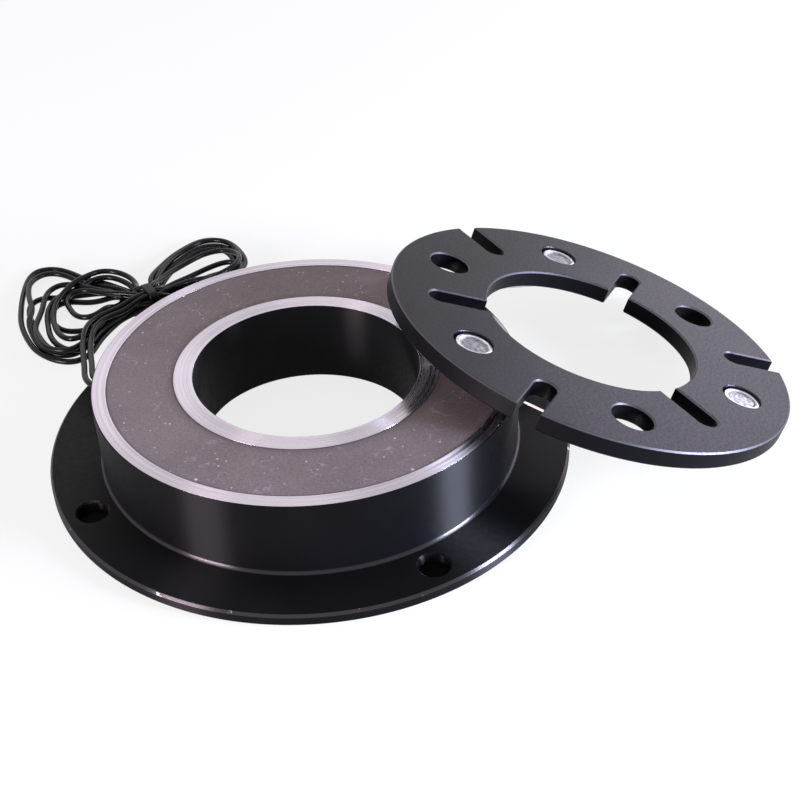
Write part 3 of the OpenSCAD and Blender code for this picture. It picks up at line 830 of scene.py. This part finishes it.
def plateFrame():
    # the CAD rivets give the plate's middle, slope and rivet circle; the middle lies in the friction face
    spots = [np.array([p.co for p in nodes[f"rivet_{n}"].data.vertices]) for n in (1, 2, 3)]
    middles = [(p.min(0) + p.max(0)) / 2 for p in spots]
    up = np.cross(middles[1] - middles[0], middles[2] - middles[0])
    up = up / np.linalg.norm(up) * np.sign(up[2])
    centre = sum(middles) / 3
    first = middles[0] - centre
    circle = float(np.linalg.norm(first))
    first /= circle
    heights = np.vstack(spots) @ up
    face = max(np.array([p.co for p in nodes["armature_plate"].data.vertices]) @ up)
    centre = centre + up * (face - centre @ up)
    turn = Matrix((first, np.cross(up, first), up)).transposed().to_euler("XYZ")
    return {"centre": tuple(centre), "turn": tuple(turn), "circle": circle, "up": up,
            "headDrop": float(face - heights.max()), "length": float(heights.max() - heights.min()) / mm}


def makeRivets(v, plate, finish):
    low = -plate["length"]
    under, shoulder = v["head"][-1][1], low + v["tailDepth"]
    section = v["head"] + [(v["shank"], under, 0), (v["shank"], shoulder, 0), (v["tail"], shoulder, 0),
                           (v["tail"], low, v["tailSoft"]), (0, low, 0)]
    tree, given = newTree("rivets on a circle", {
        "Section": "Geometry", "Around": "Int", "Core": "Float", "Count": "Int", "Circle": "Float", "Place": "Vector",
        "Turn": "Vector", "Soft Angle": "Float", "Finish": "Material"})
    one = sweep(tree, given["Section"], given["Around"], given["Core"])
    ring = ringOf(tree, one, given["Count"], given["Circle"], (0, 0, 0))
    ring = addNode(tree, "GeometryNodeTransform", {"Geometry": ring, "Translation": given["Place"],
                                                   "Rotation": given["Turn"]}).outputs[0]
    closeTree(tree, ring, given["Soft Angle"], given["Finish"])
    piece = sectionObject("rivets", section, v["core"])
    place = np.array(plate["centre"]) - plate["up"] * plate["headDrop"]
    return grow(piece, tree, around=v["around"], core=v["core"] * mm, count=v["count"], circle=plate["circle"],
                place=tuple(place), turn=plate["turn"], softAngle=v["softAngle"], finish=finish)


# The tie is drawn in mm with X across the bunch, Y up and Z along it, then turned onto the leads
tie = {
    # the band's thickness and width, and how far it goes across and up round the wires
    "band": (0.8, 2.5),
    "loop": (7.2, 6.6),
    "corner": 1.3,
    "head": (2.2, 3.2, 3.8),
    "headAt": (-5.1, 3.7, 0),
    "tail": (2.6, 0.7, 2.1),
    "tailAt": (-7.2, 4.1, 0),
    "soft": 0.22,
    "cornerSteps": 8,
    "softSteps": 3,
    "softAngle": 0.6,
}


def softRectangle(tree, width, height, radius, count):
    flat = addNode(tree, "GeometryNodeCurvePrimitiveQuadrilateral", {"Width": width, "Height": height}).outputs[0]
    return addNode(tree, "GeometryNodeFilletCurve", {"Curve": flat, "Count": count, "Radius": radius},
                   mode="POLY").outputs[0]


def softBlock(tree, size, place, soft):
    x, y, z = addNode(tree, "ShaderNodeSeparateXYZ", {0: size}).outputs
    ends = [addNode(tree, "ShaderNodeCombineXYZ", {2: maths(tree, "MULTIPLY", z, k)}).outputs[0] for k in (-0.5, 0.5)]
    line = addNode(tree, "GeometryNodeCurvePrimitiveLine", {"Start": ends[0], "End": ends[1]}).outputs[0]
    solid = addNode(tree, "GeometryNodeCurveToMesh", {
        "Curve": line, "Profile Curve": softRectangle(tree, x, y, soft, tie["softSteps"]),
        "Fill Caps": True}).outputs[0]
    return addNode(tree, "GeometryNodeTransform", {"Geometry": solid, "Translation": place}).outputs[0]


def makeTie(t, finish):
    tree, given = newTree("band tie", {
        "Start": "Geometry", "Band": "Vector", "Loop": "Vector", "Corner": "Float", "Soft Edge": "Float",
        "Head": "Vector", "Head Place": "Vector", "Tail": "Vector", "Tail Place": "Vector", "Place": "Vector",
        "Turn": "Vector", "Soft Angle": "Float", "Finish": "Material"})
    across, high, _ = addNode(tree, "ShaderNodeSeparateXYZ", {0: given["Loop"]}).outputs
    thick, wide, _ = addNode(tree, "ShaderNodeSeparateXYZ", {0: given["Band"]}).outputs
    band = addNode(tree, "GeometryNodeCurveToMesh", {
        "Curve": softRectangle(tree, across, high, given["Corner"], t["cornerSteps"]),
        "Profile Curve": softRectangle(tree, thick, wide, given["Soft Edge"], t["softSteps"])}).outputs[0]
    # the band stands on the floor
    lift = maths(tree, "MULTIPLY", maths(tree, "ADD", high, thick), 0.5)
    lift = addNode(tree, "ShaderNodeCombineXYZ", {1: lift}).outputs[0]
    band = addNode(tree, "GeometryNodeTransform", {"Geometry": band, "Translation": lift}).outputs[0]
    joined = addNode(tree, "GeometryNodeJoinGeometry")
    for part in (softBlock(tree, given["Tail"], given["Tail Place"], given["Soft Edge"]),
                 softBlock(tree, given["Head"], given["Head Place"], given["Soft Edge"]), band):
        tree.links.new(part, joined.inputs[0])
    whole = addNode(tree, "GeometryNodeTransform", {"Geometry": joined.outputs[0], "Translation": given["Place"],
                                                    "Rotation": given["Turn"]}).outputs[0]
    closeTree(tree, whole, given["Soft Angle"], given["Finish"])
    piece = bpy.data.objects.new("band_tie", bpy.data.meshes.new("band_tie"))
    scene.collection.objects.link(piece)
    a = math.radians(lead["tieTurn"])
    turn = Matrix(((-math.sin(a), math.cos(a), 0), (0, 0, 1), (math.cos(a), math.sin(a), 0))).transposed()
    return grow(piece, tree, band=inMetres(*t["band"], 0), loop=inMetres(*t["loop"], 0), corner=t["corner"] * mm,
                softEdge=t["soft"] * mm, head=inMetres(*t["head"]), headPlace=inMetres(*t["headAt"]),
                tail=inMetres(*t["tail"]), tailPlace=inMetres(*t["tailAt"]), place=inMetres(*lead["tieAt"], 0),
                turn=tuple(turn.to_euler("XYZ")), softAngle=t["softAngle"], finish=finish)


plate = plateFrame()
body = makeYoke(yoke, bodyFinish(steel))
rivets = makeRivets(rivet, plate, rivetFinish(rivetSteel, plate))
bandTie = makeTie(tie, plainFinish(*tieLook))
print("turned pieces made:", len(body.data.polygons), "and", len(rivets.data.polygons), "faces")
dress(plateFinish(plateSteel, plate), nodes["armature_plate"])
dress(liningFinish(liningMix), nodes["friction_lining"])
dress(wireFinish(sleeve), *leads, nodes["lead_tails"])
for group, look in brightLooks.items():
    dress(brightMetal(*look), *[node for name, node in nodes.items() if name.startswith(group)])
for name, look in plainLooks.items():
    dress(plainFinish(*look), nodes[name])
print("finishes made")

for piece, slot, replaced in ((body, "yoke", ("yoke",)), (rivets, "rivet", ("rivet_1", "rivet_2", "rivet_3")),
                              (bandTie, "tie", ("lead_tie",)), (leads[0], "lead", ("lead_a", "lead_hank")),
                              (leads[1], "lead", ("lead_b",))):
    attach(piece, "root")
    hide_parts(*replaced)


# Floor, background and lights
def seenDirectly(tree):
    # 1 for the camera, in reflections and through glass, 0 for light that falls on the part
    path = addNode(tree, "ShaderNodeLightPath").outputs
    seen = maths(tree, "MAXIMUM", path["Is Camera Ray"], path["Is Glossy Ray"])
    return maths(tree, "MAXIMUM", seen, path["Is Transmission Ray"])


ground = {
    "half": 3.0,
    "pale": (0.9, 0.9, 0.9),
    "glow": 0.8,
    # painted shadow: the floor gets a dark colour and no glow right under the flange, where no light gets in
    "dark": (0.02, 0.02, 0.02),
    "darkFrom": 28 * mm,
    "darkTo": 61 * mm,
}


def makeFloor(g):
    half = g["half"]
    mesh = bpy.data.meshes.new("floor")
    mesh.from_pydata([(-half, -half, 0), (half, -half, 0), (half, half, 0), (-half, half, 0)], [], [(0, 1, 2, 3)])
    floor = bpy.data.objects.new("floor", mesh)
    scene.collection.objects.link(floor)
    mat = bpy.data.materials.new("floor")
    mat.use_nodes = True
    tree = mat.node_tree
    tree.nodes.clear()
    _, radius, _ = axisSpace(tree)
    # the ring under the flange is painted shadow, dark and without glow
    under = maths(tree, "MULTIPLY", maths(tree, "GREATER_THAN", radius, g["darkFrom"]),
                  maths(tree, "LESS_THAN", radius, g["darkTo"]))
    matt = addNode(tree, "ShaderNodeBsdfDiffuse", {"Color": mixColour(tree, under, g["pale"], g["dark"])})
    glow = addNode(tree, "ShaderNodeEmission", {"Color": (1, 1, 1, 1), "Strength": 1.0})
    lit = maths(tree, "MULTIPLY", seenDirectly(tree), maths(tree, "SUBTRACT", 1.0, under))
    mix = addNode(tree, "ShaderNodeMixShader", {0: maths(tree, "MULTIPLY", lit, g["glow"]),
                                                1: matt.outputs[0], 2: glow.outputs[0]})
    addNode(tree, "ShaderNodeOutputMaterial", {"Surface": mix.outputs[0]})
    mesh.materials.append(mat)


def makeWorld(strength):
    # white where it is seen directly, softer as light on the part
    world = bpy.data.worlds.new("room")
    scene.world = world
    world.use_nodes = True
    tree = world.node_tree
    tree.nodes.clear()
    level = maths(tree, "ADD", maths(tree, "MULTIPLY", seenDirectly(tree), 1.0 - strength), strength)
    back = addNode(tree, "ShaderNodeBackground", {"Color": (1, 1, 1, 1), "Strength": level})
    addNode(tree, "ShaderNodeOutputWorld", {"Surface": back.outputs[0]})


roomLight = 0.2
lampAim = (0.01, 0.02, 0.01)
lamps = {
    # heading and height in degrees seen from the part, distance, size, power, colour
    "warmLeft": (237, 10, 0.9, (0.28, 0.32), 12.0, (1.0, 0.83, 0.9)),
    "coolRight": (356, 10, 0.9, (0.24, 0.32), 36.0, (0.70, 0.77, 1.0)),
    "behind": (56, 17, 0.9, (0.7, 0.3), 3.2, (0.9, 0.85, 1.0)),
    "window": (122, 30, 0.9, (0.6, 0.35), 0.55, (1.0, 0.97, 1.0)),
    "above": (130, 70, 0.9, (0.35, 0.35), 0.6, (1.0, 0.98, 1.0)),
}


def makeLamp(name, heading, height, far, size, power, colour):
    h, e = math.radians(heading), math.radians(height)
    away = Vector((math.cos(h) * math.cos(e), math.sin(h) * math.cos(e), math.sin(e)))
    data = bpy.data.lights.new(name, "AREA")
    data.shape = "RECTANGLE"
    data.size, data.size_y = size
    data.energy = power
    data.color = colour
    lamp = bpy.data.objects.new(name, data)
    lamp.location = Vector(lampAim) + away * far
    lamp.rotation_euler = away.to_track_quat("Z", "Y").to_euler()
    scene.collection.objects.link(lamp)


makeFloor(ground)
makeWorld(roomLight)
for name, values in lamps.items():
    makeLamp(name, *values)
scene.view_settings.view_transform = "Standard"
print("floor and lamps set")
